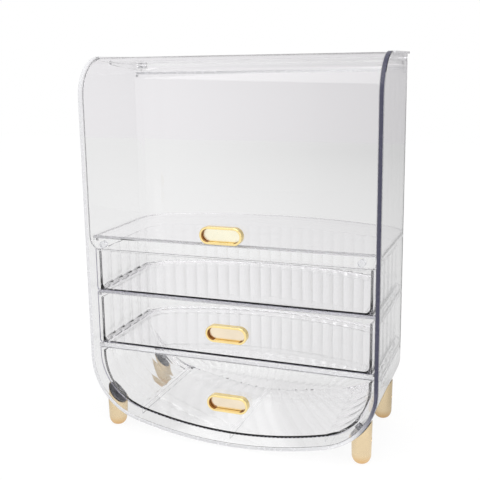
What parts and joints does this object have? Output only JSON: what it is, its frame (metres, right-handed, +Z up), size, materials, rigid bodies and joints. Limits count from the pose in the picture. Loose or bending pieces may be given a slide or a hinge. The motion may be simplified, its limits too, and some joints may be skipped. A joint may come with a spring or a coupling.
{
  "type": "makeup organizer",
  "caption": "Clear plastic cosmetics case with a hinged dust cover over its upper compartment, fluted sliding drawers below, gold pulls and four short round feet.",
  "frame": {"origin": "middle of the footprint, on the floor under the feet", "axes": "+X to the right seen from the front, +Y to the back, +Z up"},
  "size_m": [0.304, 0.182, 0.3845],
  "materials": {
    "clear_plastic": "clear, polished",
    "soft_clear_plastic": "translucent, satin",
    "gold_plating": "bright gold metal plating over moulded plastic",
    "pale_gold_plating": "pale gold metal plating, satin",
    "champagne_plating": "champagne gold metal plating, satin",
    "steel": "plain",
    "grey_rubber": "soft"
  },
  "bodies": {
    "case": {"case_shell": "clear_plastic", "lower_shelf": "clear_plastic", "middle_shelf": "clear_plastic", "upper_shelf": "clear_plastic", "rear_deck": "clear_plastic", "hinge_pin_left": "steel", "hinge_pin_right": "steel", "cover_bumper_left": "soft_clear_plastic", "cover_bumper_right": "soft_clear_plastic", "foot_front_left": "champagne_plating", "foot_pad_front_left": "grey_rubber", "foot_screw_front_left": "steel", "foot_front_right": "champagne_plating", "foot_pad_front_right": "grey_rubber", "foot_screw_front_right": "steel", "foot_rear_left": "champagne_plating", "foot_pad_rear_left": "grey_rubber", "foot_screw_rear_left": "steel", "foot_rear_right": "champagne_plating", "foot_pad_rear_right": "grey_rubber", "foot_screw_rear_right": "steel"},
    "cover_body": {"cover": "clear_plastic", "cover_pull": "gold_plating", "cover_pull_inset": "pale_gold_plating", "cover_pull_nut_left": "soft_clear_plastic", "cover_pull_nut_right": "soft_clear_plastic"},
    "top_drawer_body": {"top_drawer": "clear_plastic"},
    "middle_drawer_body": {"middle_drawer": "clear_plastic", "middle_drawer_pull": "gold_plating", "middle_drawer_pull_inset": "pale_gold_plating", "middle_drawer_pull_nut_left": "soft_clear_plastic", "middle_drawer_pull_nut_right": "soft_clear_plastic"},
    "bottom_drawer_body": {"bottom_drawer": "clear_plastic", "bottom_drawer_pull": "gold_plating", "bottom_drawer_pull_inset": "pale_gold_plating", "bottom_drawer_pull_nut_left": "soft_clear_plastic", "bottom_drawer_pull_nut_right": "soft_clear_plastic"}
  },
  "joints": [
    {"name": "cover_hinge", "type": "hinge", "parent": "case", "child": "cover_body", "pos_m": [0, 0.035, 0.3775], "axis": [-1, 0, 0], "range_deg": [0, 110]},
    {"name": "top_drawer_slide", "type": "slide", "parent": "case", "child": "top_drawer_body", "axis": [0, -1, 0], "range_m": [0, 0.12]},
    {"name": "middle_drawer_slide", "type": "slide", "parent": "case", "child": "middle_drawer_body", "axis": [0, -1, 0], "range_m": [0, 0.12]},
    {"name": "bottom_drawer_slide", "type": "slide", "parent": "case", "child": "bottom_drawer_body", "axis": [0, -1, 0], "range_m": [0, 0.12]}
  ]
}
